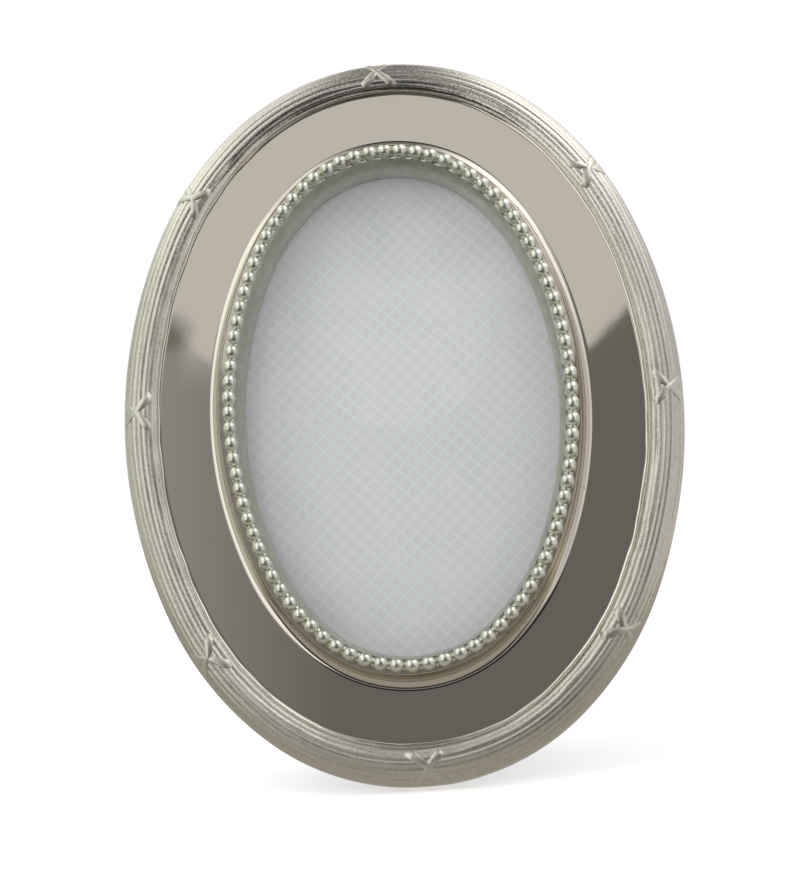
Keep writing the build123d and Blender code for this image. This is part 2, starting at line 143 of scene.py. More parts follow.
def oval_place(distance, length_share):
    """Gives a point at a share of the oval's length from its right side, and its direction."""
    lengths = arc_lengths(distance)
    left = (length_share * sum(lengths) + lengths[0] / 2) % sum(lengths)
    arc = 0
    while left > lengths[arc]:
        left -= lengths[arc]
        arc += 1
    centre, radius, start, turn = oval_arcs()[arc]
    direction = start + turn * left / lengths[arc]
    x = centre[0] + (radius + distance) * math.cos(math.radians(direction))
    y = centre[1] + (radius + distance) * math.sin(math.radians(direction))
    return x, y, direction


def oval_address(x, y):
    """Gives how far outside the sight edge a point is, and its share of the way round."""
    lengths = arc_lengths(0)
    passed = -lengths[0] / 2
    far_side_weight = 1e5
    best = None
    for (centre, radius, start, turn), length in zip(oval_arcs(), lengths):
        reach = math.hypot(x - centre[0], y - centre[1])
        direction = math.degrees(math.atan2(y - centre[1], x - centre[0]))
        into = (direction - start + 180) % 360 - 180
        outside = max(0, -into, into - turn) + max(0, radius - reach) * far_side_weight
        if best is None or outside < best[0]:
            best = (outside, reach - radius, (passed + length * into / turn) / sum(lengths))
        passed += length
    return best[1], best[2] % 1


# Modelling steps that every piece uses


def start_alone():
    """Leaves edit mode and deselects everything."""
    if bpy.context.object and bpy.context.object.mode == "EDIT":
        bpy.ops.object.mode_set(mode="OBJECT")
    bpy.ops.object.select_all(action="DESELECT")


def pick(piece):
    """Makes one piece the only selected and active one."""
    start_alone()
    piece.select_set(True)
    bpy.context.view_layer.objects.active = piece


def edit_all(piece, *steps):
    """Runs steps in edit mode with the whole piece selected."""
    pick(piece)
    bpy.ops.object.mode_set(mode="EDIT")
    bpy.ops.mesh.select_all(action="SELECT")
    for step in steps:
        step()
    bpy.ops.object.mode_set(mode="OBJECT")


def edit_where(piece, kind, holds, *steps):
    """Runs steps in edit mode with the points or faces selected that a rule holds for."""
    edit_all(
        piece,
        lambda: bpy.ops.mesh.select_mode(type=kind),
        lambda: bpy.ops.mesh.select_all(action="DESELECT"),
    )
    for part in piece.data.vertices if kind == "VERT" else piece.data.polygons:
        part.select = holds(part)
    bpy.ops.object.mode_set(mode="EDIT")
    for step in steps:
        step()
    bpy.ops.object.mode_set(mode="OBJECT")


def extrude(x, y, z):
    """Extrudes what is selected by a step."""
    bpy.ops.mesh.extrude_region_move(TRANSFORM_OT_translate={"value": (x, y, z)})


def face_outwards():
    """Selects the whole mesh and turns its faces outwards."""
    bpy.ops.mesh.select_all(action="SELECT")
    bpy.ops.mesh.normals_make_consistent(inside=False)


def named(name):
    """Names the piece that was just added."""
    piece = bpy.context.object
    piece.name = name
    piece.data.name = name
    return piece


def add_modifier(piece, kind, **settings):
    """Adds a modifier, sets it and applies it."""
    pick(piece)
    modifier = piece.modifiers.new(kind.lower(), kind)
    for setting, value in settings.items():
        setattr(modifier, setting, value)
    bpy.ops.object.modifier_apply(modifier=modifier.name)


def round_edges(piece, width, segments):
    """Rounds the sharp edges of a piece."""
    sharp = math.radians(60)
    add_modifier(piece, "BEVEL", width=width, segments=segments, limit_method="ANGLE", angle_limit=sharp)


def join(pieces, name):
    """Joins pieces into one mesh."""
    start_alone()
    for piece in pieces:
        piece.select_set(True)
    bpy.context.view_layer.objects.active = pieces[0]
    bpy.ops.object.join()
    return named(name)


def smooth(piece, angle):
    """Shades a piece smooth, with edges sharper than the angle kept."""
    pick(piece)
    bpy.ops.object.shade_smooth_by_angle(angle=math.radians(angle))


lean_matrix = Matrix.Translation((0, stand_depth, stand_height)) @ Matrix.Rotation(
    math.radians(90 - lean_angle), 4, "X"
)


def stand_up(piece):
    """Leans a flat piece back onto the standing frame, its place in its mesh."""
    pick(piece)
    piece.matrix_world = lean_matrix @ piece.matrix_world
    bpy.ops.object.transform_apply(location=True, rotation=True, scale=True)


# Sections of the mouldings


def swell(start, end, share, count):
    """Gives points of an arc that swells to the left of its way by a share of its span."""
    across, up = end[0] - start[0], end[1] - start[1]
    span = math.hypot(across, up)
    half_turn = 2 * math.atan(2 * share)
    radius = span / (2 * math.sin(half_turn))
    points = []
    for step in range(1, count):
        turn = half_turn * (2 * step / count - 1)
        along = (math.sin(turn) * radius / span) + 1 / 2
        rise = (math.cos(turn) - math.cos(half_turn)) * radius / span
        points.append((start[0] + across * along - up * rise, start[1] + up * along + across * rise))
    return points


def on_rim(turn, rise=0.0):
    """Gives the distance and height of a point on the rim's round."""
    reach = rim_radius - worn_reed_depth + rise
    return rim_centre + reach * math.cos(turn), rim_centre_height + reach * math.sin(turn)


def reed_points(first_turn, count):
    """Gives the points of the reeds, from the raised line over the rim to its outside."""
    shallow_reeds = 2
    points = []
    step = first_turn / reed_count
    for reed in range(reed_count):
        depth = worn_reed_depth * min(1, (reed + shallow_reeds) / (2 * shallow_reeds))
        for part in range(count):
            share = part / count
            turn = math.radians(first_turn - step * (reed + share))
            points.append(on_rim(turn, depth * math.sin(math.pi * share)))
    return points


def casting_points():
    """Gives the casting's section, from the sight edge over the front and round the back."""
    shoulder_lip = 0.0005
    lip_round = 0.00015
    flare_half_turn = math.radians(40)
    slope_width = 0.0008
    slope_rise = 0.0003
    holding = 0.0003
    cove_hollow_share, lip_swell_share = 0.08, 0.15
    slope_swell_share, line_swell_share = -0.07, 0.3
    wall_chamfer = 0.0008
    wall = 0.002
    trough_chamfer = 0.0021
    pocket_edge = 0.0043
    panel_pocket = 0.0202
    ledge_support = 0.002
    edge = (0, sight_edge)
    cove_top = (cove_outer, ledge_height)
    lip_height = ledge_height + shoulder_lip
    lip_end = (lip_outer - lip_round, lip_height)
    wall_start = (lip_outer, lip_height - 2 * lip_round)
    flare_height = band_height + (band_inner - flare_start) * math.tan(flare_half_turn)
    flare = [(flare_start, flare_height), (band_inner, band_height)]
    band_end = (band_outer - slope_width, band_height)
    line_start = (band_outer, band_height + slope_rise)
    line_end = on_rim(math.radians(line_turn))
    wall_inside = outer_edge - wall
    front = [
        (0, glass_front),
        edge,
        *swell(edge, cove_top, cove_hollow_share, count=10),
        cove_top,
        (ledge_outer, ledge_height),
        (ledge_outer, lip_height - lip_round),
        (ledge_outer + lip_round / 2, lip_height),
        lip_end,
        *swell(lip_end, wall_start, lip_swell_share, count=4),
        wall_start,
        flare[0],
        *swell(*flare, -math.tan(flare_half_turn / 2) / 2, count=22),
        flare[1],
        (band_inner + holding, band_height),
        (band_end[0] - holding, band_height),
        band_end,
        *swell(band_end, line_start, slope_swell_share, count=6),
        line_start,
        *swell(line_start, line_end, line_swell_share, count=8),
        *reed_points(line_turn, count=10),
        on_rim(0),
    ]
    back = [
        (outer_edge, rim_centre_height - reed_depth),
        (outer_edge, wall_chamfer),
        (outer_edge - wall_chamfer, 0),
        (wall_inside, 0),
        (wall_inside, trough_roof - trough_chamfer),
        (wall_inside - trough_chamfer, trough_roof),
        (panel_pocket + wall, trough_roof),
        (panel_pocket + wall, 0),
        (panel_pocket, 0),
        (panel_pocket, panel_seat),
        (panel_pocket - ledge_support, panel_seat),
        (panel_pocket - ledge_support, trough_roof),
        (pocket_edge + wall, trough_roof),
        (pocket_edge + wall, panel_seat),
        (pocket_edge, panel_seat),
        (pocket_edge, glass_front),
    ]
    return front + back


def oval_ring(name, section, step_length):
    """Spins a closed section round the eight arcs of the oval."""
    arcs = oval_arcs()
    bpy.ops.mesh.primitive_circle_add(vertices=len(section), radius=outer_edge)
    ring = named(name)
    centre, radius, start, _ = arcs[0]
    across, up = math.cos(math.radians(start)), math.sin(math.radians(start))
    for vertex, (distance, height) in zip(ring.data.vertices, section):
        reach = radius + distance
        vertex.co = (centre[0] + reach * across, centre[1] + reach * up, height)
    steps = [max(2, round(length / step_length)) for length in arc_lengths(0)]

    def spin_arcs():
        """Spins the section through each arc in turn and closes the ring."""
        for (centre, _, _, turn), count in zip(arcs, steps):
            bpy.ops.mesh.spin(
                steps=count, angle=-math.radians(turn), center=(*centre, 0), axis=(0, 0, 1)
            )
        bpy.ops.mesh.select_all(action="SELECT")
        bpy.ops.mesh.remove_doubles(threshold=step_length / 1000)
        face_outwards()

    edit_all(ring, spin_arcs)
    return ring


def map_ring(ring):
    """Gives a ring a map whose one way runs round the oval and whose other runs across it."""
    mesh = ring.data
    length = sum(arc_lengths(0))
    addresses = [oval_address(vertex.co.x, vertex.co.y) for vertex in mesh.vertices]
    layer = mesh.uv_layers.new(name="ring_map")
    for face in mesh.polygons:
        shares = [addresses[index][1] for index in face.vertices]
        wraps = max(shares) - min(shares) > 1 / 2
        for loop, index in zip(face.loop_indices, face.vertices):
            distance, share = addresses[index]
            if wraps and share < 1 / 2:
                share += 1
            across = distance - mesh.vertices[index].co.z
            layer.data[loop].uv = (share * length, across)


# The casting


def ripple(casting):
    """Leaves the rim's inner slope and its raised line a little wavy, as cast."""
    wave_length, wave_height = 0.009, 0.0006
    blend = 0.0008
    line_foot = 0.0007
    hair = 0.0001
    slope_start = band_outer - line_foot
    slope_end = rim_centre - blend
    wavy = casting.vertex_groups.new(name="wavy")
    for vertex in casting.data.vertices:
        distance, _ = oval_address(vertex.co.x, vertex.co.y)
        weight = min(1, (distance - slope_start) / blend, (slope_end - distance) / blend)
        if weight > 0 and vertex.co.z > band_height - hair:
            wavy.add([vertex.index], weight, "REPLACE")
    clouds = bpy.data.textures.new("casting_waves", "CLOUDS")
    clouds.noise_scale = wave_length
    add_modifier(
        casting, "DISPLACE", texture=clouds, texture_coords="LOCAL", strength=wave_height,
        mid_level=0.5, vertex_group="wavy",
    )


def casting_bosses():
    """Gives the four bosses in the casting's trough that take the button screws."""
    boss_count = 4
    boss_radius = 0.0035
    boss_distance = 0.0261
    boss_top = 0.01005
    bosses = []
    for boss in range(boss_count):
        x, y, _ = oval_place(boss_distance, (boss + 1 / 2) / boss_count)
        bpy.ops.mesh.primitive_cylinder_add(
            vertices=32, radius=boss_radius, depth=boss_top, location=(x, y, boss_top / 2)
        )
        bosses.append(named("boss"))
    return bosses


def frame_casting():
    """The cast frame, with its reeded rim, band, shoulder and cove in front and its trough behind."""
    step_length = 0.0014
    outer_skin, hair = 0.0015, 0.0001
    casting = oval_ring("casting_worked", casting_points(), step_length)
    map_ring(casting)
    ripple(casting)
    casting = join([casting, *casting_bosses()], "casting_worked")
    finishes = [
        polished_plate(),
        satin_plate("cove_plate", roughness=0.42, dull=(0.66, 0.67, 0.58), clean=(0.76, 0.77, 0.68)),
        reeded_plate(),
        cast_back(),
    ]
    for material in finishes:
        casting.data.materials.append(material)
    polished, cove, reeded, rough = range(len(finishes))
    for face in casting.data.polygons:
        distance, _ = oval_address(face.center.x, face.center.y)
        faces_back = face.normal.z < -1 / 2
        within = cove_outer < distance < outer_edge - outer_skin
        if faces_back or within and face.center.z < trough_roof + hair:
            face.material_index = rough
        elif distance > band_outer:
            face.material_index = reeded
        elif distance < cove_outer:
            face.material_index = cove
        else:
            face.material_index = polished
    smooth(casting, angle=28)
    stand_up(casting)
    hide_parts("frame_casting")
    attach(casting, "frame")


# The ribbon ties over the reeds

tie_shares = (0.0, 0.125, 0.253, 0.3735, 0.493, 0.628, 0.754, 0.874)


def rim_point(share, along, turn, rise):
    """Gives a point over the rim, some way along it from a share of its length."""
    length = sum(arc_lengths(rim_centre))
    x, y, direction = oval_place(rim_centre, (share + along / length) % 1)
    reach = rim_radius + rise
    outwards = reach * math.cos(turn)
    return (
        x + outwards * math.cos(math.radians(direction)),
        y + outwards * math.sin(math.radians(direction)),
        rim_centre_height + reach * math.sin(turn),
    )


def tie_ribbon(share, side, reach, tail, lift, width, crossing):
    """Gives one ribbon of a tie, from the rim's inner edge over the crossing to its outside."""
    thickness = 0.0006
    sink = 0.0007
    crown_height = 0.00024
    past_line_angle, outer_angle = 2, 14
    inner = math.radians(line_turn - past_line_angle)
    outer = math.radians(outer_angle)
    curl = 1.2
    waist_share, waist_reach_share = 0.35, 0.15
    end_share = 1 / 6
    look_share = 0.02
    along_steps, across_steps = 34, 10
    bpy.ops.mesh.primitive_grid_add(x_subdivisions=along_steps, y_subdivisions=across_steps, size=1)
    ribbon = named("tie_ribbon")

    def line(part):
        """Gives where a part of the ribbon's line lies along the rim and round it."""
        if part < crossing:
            along = reach * ((crossing - part) / crossing) ** curl
        else:
            along = -tail * (part - crossing) / (1 - crossing)
        return side * along, (inner + (outer - inner) * part) * rim_radius

    for vertex in ribbon.data.vertices:
        part = vertex.co.x + 1 / 2
        here, ahead = line(part - look_share), line(part + look_share)
        run = (ahead[0] - here[0], ahead[1] - here[1])
        span = math.hypot(*run)
        middle = line(part)
        narrowing = 1 - waist_share * math.exp(-(((part - crossing) / waist_reach_share) ** 2))
        shift = vertex.co.y * width * narrowing
        along = middle[0] - run[1] / span * shift
        turn = (middle[1] + run[0] / span * shift) / rim_radius
        past_edge = max(0, (abs(vertex.co.y) - 1 / 2) * across_steps + 1)
        ends = min(1, part / end_share, (1 - part) / end_share)
        crown = lift + crown_height * math.cos(vertex.co.y * math.pi)
        rise = crown * ends - sink * past_edge - sink * (1 - ends)
        vertex.co = rim_point(share, along, turn, rise)
    add_modifier(ribbon, "SOLIDIFY", thickness=thickness, offset=-1)
    return ribbon


def ribbon_ties():
    """The eight crossed ribbons that bind the reeds, no two quite alike."""
    usual_reach, reach_change = 0.0066, 0.0012
    usual_tail, tail_change = 0.0036, 0.0007
    usual_width, width_change = 0.0029, 0.0003
    crossing_inwards, crossing_outwards = 0.05, 0.08
    upper_lift = 0.0001
    draw = random.Random(11)
    ribbons = []
    for share in tie_shares:
        crossing = 1 / 2 + draw.uniform(-crossing_inwards, crossing_outwards)
        for side, lift in ((1, 0), (-1, upper_lift)):
            reach = usual_reach + draw.uniform(-reach_change, reach_change)
            tail = usual_tail + draw.uniform(-tail_change, tail_change)
            width = usual_width + draw.uniform(-width_change, width_change)
            ribbons.append(tie_ribbon(share, side, reach, tail, lift, width, crossing))
    ties = join(ribbons, "ribbon_ties")
    edit_all(ties, face_outwards)
    ties.data.materials.append(
        satin_plate("tie_plate", roughness=0.34, dull=(0.60, 0.58, 0.50), clean=(0.70, 0.68, 0.60))
    )
    smooth(ties, angle=50)
    stand_up(ties)
    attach(ties, "frame")


# The beads


def bead_border():
    """The ring of cast beads on their strip, each a little uneven, the left side drawn in a little."""
    bead_count = 88
    bead_radius = 0.00213
    bead_rise = 0.00131
    uneven = 0.00007
    tilt = 0.3
    across_range, along_range, up_range = (0.93, 0.99), (1.03, 1.1), (0.93, 0.98)
    strip_half = 0.0014
    strip_rise = 0.0013
    strip_steps = 8
    step_length = 0.0025
    left_squeeze = 0.016
    draw = random.Random(7)
    section = []
    for step in range(strip_steps + 1):
        turn = math.pi * step / strip_steps
        distance = bead_line - strip_half * math.cos(turn)
        section.append((distance, ledge_height + strip_rise * math.sin(turn)))
    strip = oval_ring("strip", section, step_length)
    beads = [strip]
    bpy.ops.mesh.primitive_uv_sphere_add(segments=24, ring_count=14, radius=bead_radius)
    pattern = named("bead")
    for number in range(bead_count):
        x, y, direction = oval_place(bead_line, number / bead_count)
        bead = pattern.copy()
        bead.data = pattern.data.copy()
        bpy.context.collection.objects.link(bead)
        bead.location = (
            x + draw.uniform(-uneven, uneven),
            y + draw.uniform(-uneven, uneven),
            ledge_height + bead_rise + draw.uniform(-uneven, 0),
        )
        tilts = [draw.uniform(-tilt, tilt) for _ in range(2)]
        bead.rotation_euler = (*tilts, math.radians(direction))
        bead.scale = [draw.uniform(*limits) for limits in (across_range, along_range, up_range)]
        beads.append(bead)
    bpy.data.objects.remove(pattern)
    border = join(beads, "beads_worked")
    for vertex in border.data.vertices:
        vertex.co.x += left_squeeze * max(0, -vertex.co.x)
    # Painted light: the bead plate's colours are set lighter than the band's nickel, so that the beads
    # look brighter.
    border.data.materials.append(
        satin_plate("bead_plate", roughness=0.3, dull=(0.70, 0.71, 0.61), clean=(0.84, 0.86, 0.76))
    )
    smooth(border, angle=60)
    stand_up(border)
    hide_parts("bead_border")
    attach(border, "frame")


# The glass, and the flat oval that it and the velvet start from


def oval_slab(name, distance, start, end, count):
    """Gives a flat oval slab, extruded from one height to another."""
    bpy.ops.mesh.primitive_circle_add(vertices=count, radius=outer_edge, fill_type="NGON")
    slab = named(name)
    for number, vertex in enumerate(slab.data.vertices):
        x, y, _ = oval_place(distance, number / count)
        vertex.co = (x, y, start)
    edit_all(slab, lambda: extrude(0, 0, end - start), face_outwards)
    return slab


def glass_pane():
    """The pane, with its ground edges, a hair off the paper behind it and the rim before it."""
    pane_edge = 0.004
    pane_back = 0.00432
    front_gap = 0.00003
    ground_edge = 0.0002
    pane = oval_slab("pane", pane_edge, pane_back, glass_front - front_gap, count=180)
    round_edges(pane, ground_edge, segments=3)
    pane.data.materials.append(clear_glass())
    smooth(pane, angle=30)
    stand_up(pane)
    pane.visible_shadow = False
    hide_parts("glass_pane")
    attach(pane, "frame")


# The velvet back, its strut and the ribbon between them


def back_velvet():
    """The velvet glued over the back and round the edge of its board."""
    velvet_thickness = 0.0005
    edge_round = 0.0012
    cover = oval_slab("velvet_worked", panel_edge, panel_front, 0, count=240)
    edit_where(
        cover, "FACE", lambda face: face.normal.z > 1 / 2, lambda: bpy.ops.mesh.delete(type="ONLY_FACE")
    )
    round_edges(cover, edge_round, segments=5)
    add_modifier(cover, "SOLIDIFY", thickness=velvet_thickness, offset=-1)
    cover.data.materials.append(velvet())
    smooth(cover, angle=40)
    stand_up(cover)
    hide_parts("back_velvet")
    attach(cover, "back")


opening = (
    Matrix.Translation((0, strut_hinge_rise, strut_hinge_depth))
    @ Matrix.Rotation(math.radians(strut_open_angle), 4, "X")
    @ Matrix.Translation((0, -strut_hinge_rise, -strut_hinge_depth))
)


def strut_velvet():
    """The velvet sleeve of the strut and the panel that lines its inner side, cut where it stands."""
    half_top, half_foot = 0.017, 0.025
    top, foot = 0.0381, -0.1061
    side_angle = math.atan2(half_foot - half_top, top - foot)
    corner_radius = 0.008
    corner_run = corner_radius / math.tan(math.pi / 4 - side_angle / 2)
    turned_edge = 0.0035
    lining_step = 0.0002
    lining_slope = 1.5 * lining_step
    edge_round = 0.0008
    bpy.ops.mesh.primitive_plane_add(size=2)
    sleeve = named("strut_worked")
    for vertex in sleeve.data.vertices:
        at_top = vertex.co.y > 0
        half = half_top if at_top else half_foot
        vertex.co = (math.copysign(half, vertex.co.x), top if at_top else foot, strut_back)
    edit_where(
        sleeve, "VERT", lambda vertex: vertex.co.y < 0,
        lambda: bpy.ops.mesh.bevel(offset=corner_run, segments=10, affect="VERTICES"),
    )
    edit_all(sleeve, lambda: extrude(0, 0, strut_front - lining_step - strut_back), face_outwards)
    edit_where(
        sleeve, "FACE", lambda face: face.normal.z > 1 / 2,
        lambda: bpy.ops.mesh.inset(thickness=turned_edge),
        lambda: bpy.ops.mesh.inset(thickness=lining_slope, depth=lining_step),
    )
    round_edges(sleeve, edge_round, segments=4)
    sleeve.matrix_world = opening @ sleeve.matrix_world
    sleeve.data.materials.append(velvet())
    smooth(sleeve, angle=30)
    stand_up(sleeve)
    edit_all(
        sleeve,
        lambda: bpy.ops.mesh.bisect(
            plane_co=(0, 0, 0), plane_no=(0, 0, 1), clear_inner=True, use_fill=True
        ),
    )
    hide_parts("strut_velvet")
    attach(sleeve, "strut")


def ribbon_line(steps):
    """Gives the ribbon's line from the side: flat on the back, taut, then flat on the strut."""
    back_end, back_bend = -0.0555, -0.0635
    strut_bend, strut_end = -0.0675, -0.0755
    on_back, on_strut = -0.0002, -0.0014
    softening_rounds = 4
    corners = [
        Vector((0, back_end, on_back)),
        Vector((0, back_bend, on_back)),
        opening @ Vector((0, strut_bend, on_strut)),
        opening @ Vector((0, strut_end, on_strut)),
    ]
    runs = [(ahead - here).length for here, ahead in zip(corners, corners[1:])]
    line = []
    for step in range(steps + 1):
        left = sum(runs) * step / steps
        run = 0
        while run < len(runs) - 1 and left > runs[run]:
            left -= runs[run]
            run += 1
        line.append(corners[run].lerp(corners[run + 1], left / runs[run]))
    for _ in range(softening_rounds):
        between = [(line[step - 1] + line[step + 1]) / 2 for step in range(1, steps)]
        line[1:-1] = between
    return line


def ribbon_stay():
    """The satin ribbon that stops the strut, with its woven edges."""
    ribbon_width = 0.008
    ribbon_thickness = 0.00028
    cup_depth, waist_share = 0.0004, 0.05
    steps, across_steps = 120, 12
    line = ribbon_line(steps)
    bpy.ops.mesh.primitive_grid_add(x_subdivisions=steps, y_subdivisions=across_steps, size=1)
    ribbon = named("ribbon_worked")
    ribbon.data.uv_layers[0].name = "ribbon_map"
    for vertex in ribbon.data.vertices:
        step = round((vertex.co.x + 1 / 2) * steps)
        before, after = line[max(0, step - 1)], line[min(steps, step + 1)]
        way = (after - before).normalized()
        side = Vector((0, -way.z, way.y))
        taut = math.sin(math.pi * step / steps) ** 2
        cupped = cup_depth * taut * math.cos(math.pi * vertex.co.y)
        waisted = 1 - waist_share * taut
        here = line[step] + side * cupped
        vertex.co = (vertex.co.y * ribbon_width * waisted, here.y, here.z)
    add_modifier(ribbon, "SOLIDIFY", thickness=ribbon_thickness, offset=0)
    ribbon.data.materials.append(satin_weave())
    smooth(ribbon, angle=50)
    stand_up(ribbon)
    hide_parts("ribbon_stay")
    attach(ribbon, "back")
    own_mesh(ribbon)


# Materials


def new_material(name, settings):
    """Gives a new material, its node tree and its shader, whose plain settings go by name."""
    material = bpy.data.materials.new(name)
    material.use_nodes = True
    tree = material.node_tree
    shader = tree.nodes["Principled BSDF"]
    for setting, value in settings.items():
        shader.inputs[setting].default_value = value
    return material, tree, shader


def add_node(tree, kind, **settings):
    """Adds a node, and sets its sockets and its other settings by name."""
    node = tree.nodes.new(kind)
    for setting, value in settings.items():
        if setting in node.inputs:
            node.inputs[setting].default_value = value
        else:
            setattr(node, setting, value)
    return node


def object_place(tree):
    """Gives the Object coordinates of a piece."""
    return add_node(tree, "ShaderNodeTexCoord").outputs["Object"]


def ring_place(tree):
    """Gives the map that runs round and across a ring."""
    return add_node(tree, "ShaderNodeUVMap", uv_map="ring_map").outputs["UV"]


def noise(tree, place, scale, detail=3.0, roughness=0.5):
    """Gives a noise over a place."""
    node = add_node(tree, "ShaderNodeTexNoise", Scale=scale, Detail=detail, Roughness=roughness)
    tree.links.new(place, node.inputs["Vector"])
    return node.outputs["Fac"]


def stretched(tree, place, scale):
    """Gives a place stretched by a scale each way."""
    node = add_node(tree, "ShaderNodeMapping", Scale=scale)
    tree.links.new(place, node.inputs["Vector"])
    return node.outputs["Vector"]


def ramp(tree, value, *stops):
    """Gives colours over a value, from pairs of position and colour."""
    node = add_node(tree, "ShaderNodeValToRGB")
    elements = node.color_ramp.elements
    while len(elements) < len(stops):
        elements.new(1)
    for element, (position, color) in zip(elements, stops):
        element.position = position
        element.color = color if len(color) == 4 else (*color, 1)
    tree.links.new(value, node.inputs["Fac"])
    return node.outputs["Color"]


def spread(tree, value, low, high, start=0.0, end=1.0):
    """Gives a value moved from one range into another."""
    node = add_node(tree, "ShaderNodeMapRange")
    node.inputs["From Min"].default_value = low
    node.inputs["From Max"].default_value = high
    node.inputs["To Min"].default_value = start
    node.inputs["To Max"].default_value = end
    tree.links.new(value, node.inputs["Value"])
    return node.outputs["Result"]


def calculate(tree, operation, first, second):
    """Gives the result of a sum on sockets or numbers."""
    node = add_node(tree, "ShaderNodeMath", operation=operation)
    for socket, value in zip(node.inputs, (first, second)):
        if isinstance(value, bpy.types.NodeSocket):
            tree.links.new(value, socket)
        else:
            socket.default_value = value
    return node.outputs["Value"]


def axes_of(tree, place):
    """Gives the X, Y and Z of a place."""
    split = add_node(tree, "ShaderNodeSeparateXYZ")
    tree.links.new(place, split.inputs["Vector"])
    return [split.outputs[axis] for axis in "XYZ"]


def away_from(tree, value, middle):
    """Gives how far a value is from a middle, to either side."""
    return calculate(tree, "ABSOLUTE", calculate(tree, "SUBTRACT", value, middle), 0)


def bump(tree, shader, height, depth, strength=1.0, under=None):
    """Bumps a shader's surface by a height, over an earlier bump where one is given."""
    node = add_node(tree, "ShaderNodeBump", Strength=strength, Distance=depth)
    tree.links.new(height, node.inputs["Height"])
    if under:
        tree.links.new(under, node.inputs["Normal"])
    tree.links.new(node.outputs["Normal"], shader.inputs["Normal"])
    return node.outputs["Normal"]


def polished_plate():
    """The mirror finish of the band and the shoulder, with faint haze, grime specks, and darkening by the
    band's edges that is partly grime and partly painted shade in the creases.
    """
    # The darker tone serves both the grime specks and the painted shade by the band's edges.
    nickel, grime_and_shade = (0.66, 0.61, 0.53), (0.30, 0.27, 0.22)
    clearest, haziest = 0.025, 0.055
    edge_darkening_reach, edge_darkening_overlap, edge_darkening_gain = 0.00125, 0.0005, 0.06
    material, tree, shader = new_material("polished_plate", {"Metallic": 1})
    place = object_place(tree)
    haze = noise(tree, place, scale=45, detail=4)
    tree.links.new(spread(tree, haze, 0.3, 0.75, clearest, haziest), shader.inputs["Roughness"])
    middle = (band_inner + band_outer) / 2 - band_height
    half = (band_outer - band_inner) / 2
    away = away_from(tree, axes_of(tree, ring_place(tree))[1], middle)
    # Darker towards both edges of the band: partly grime, partly painted shade in the creases where the
    # shoulder's flare and the slope to the raised line meet it.
    edge_grime_and_shade = spread(tree, away, half - edge_darkening_reach, half + edge_darkening_overlap, 0, edge_darkening_gain)
    specks_and_edge_darkening = calculate(tree, "ADD", noise(tree, place, scale=620, detail=3), edge_grime_and_shade)
    tone = ramp(tree, specks_and_edge_darkening, (0.74, nickel), (0.84, grime_and_shade))
    tree.links.new(tone, shader.inputs["Base Color"])
    waves = bump(tree, shader, noise(tree, place, scale=55, detail=1), depth=0.00003)
    bump(tree, shader, noise(tree, place, scale=700, detail=2), depth=0.000001, under=waves)
    return material


def satin_plate(name, roughness, dull, clean):
    """The softer finish of plated forms that a polishing wheel doesn't reach."""
    clearest, haziest = roughness * 0.85, roughness * 1.2
    material, tree, shader = new_material(name, {"Metallic": 1})
    place = object_place(tree)
    haze = noise(tree, place, scale=120, detail=3)
    tree.links.new(spread(tree, haze, 0.3, 0.75, clearest, haziest), shader.inputs["Roughness"])
    patches = noise(tree, place, scale=420, detail=3)
    tone = ramp(tree, patches, (0.3, dull), (0.6, clean))
    tree.links.new(tone, shader.inputs["Base Color"])
    bump(tree, shader, noise(tree, place, scale=400, detail=2), depth=0.000008, strength=0.6)
    return material


def reeded_plate():
    """The cast and plated reeds, streaked along their way, grainy, and rubbed bright at the top."""
    quarter = sum(arc_lengths(0)) / 4
    shine_start, shine_end, top_shine = 0.4 * quarter, 0.65 * quarter, 0.16
    clearest, haziest = 0.27, 0.40
    streak_share = 0.6
    material, tree, shader = new_material("reeded_plate", {"Metallic": 1})
    ring = ring_place(tree)
    streaks = noise(tree, stretched(tree, ring, (60, 1600, 1)), scale=1, detail=4)
    grain = noise(tree, object_place(tree), scale=1300, detail=3)
    from_top = away_from(tree, axes_of(tree, ring)[0], quarter)
    rubbed = spread(tree, from_top, shine_start, shine_end, top_shine, 0)
    worn = spread(tree, streaks, 0.3, 0.7, clearest, haziest)
    tree.links.new(calculate(tree, "SUBTRACT", worn, rubbed), shader.inputs["Roughness"])
    mixed = calculate(
        tree, "ADD",
        calculate(tree, "MULTIPLY", streaks, streak_share),
        calculate(tree, "MULTIPLY", grain, 1 - streak_share),
    )
    tone = ramp(tree, mixed, (0.36, (0.50, 0.47, 0.41)), (0.52, (0.68, 0.65, 0.58)))
    tree.links.new(tone, shader.inputs["Base Color"])
    lines = bump(tree, shader, streaks, depth=0.00012, strength=0.7)
    bump(tree, shader, grain, depth=0.00009, strength=0.8, under=lines)
    return material


def cast_back():
    """The dull, sand-rough back of the casting."""
    material, tree, shader = new_material("cast_back", {"Metallic": 1, "Roughness": 0.55})
    place = object_place(tree)
    blotches = noise(tree, place, scale=300, detail=5)
    tone = ramp(tree, blotches, (0.3, (0.30, 0.29, 0.26)), (0.7, (0.46, 0.44, 0.40)))
    tree.links.new(tone, shader.inputs["Base Color"])
    bump(tree, shader, noise(tree, place, scale=1500, detail=4), depth=0.0001, strength=0.8)
    return material


def clear_glass():
    """The glass of the pane."""
    settings = {
        "Base Color": (0.985, 0.99, 0.99, 1),
        "Roughness": 0,
        "Transmission Weight": 1,
        "IOR": 1.5,
    }
    material, _, _ = new_material("pane_glass", settings)
    return material


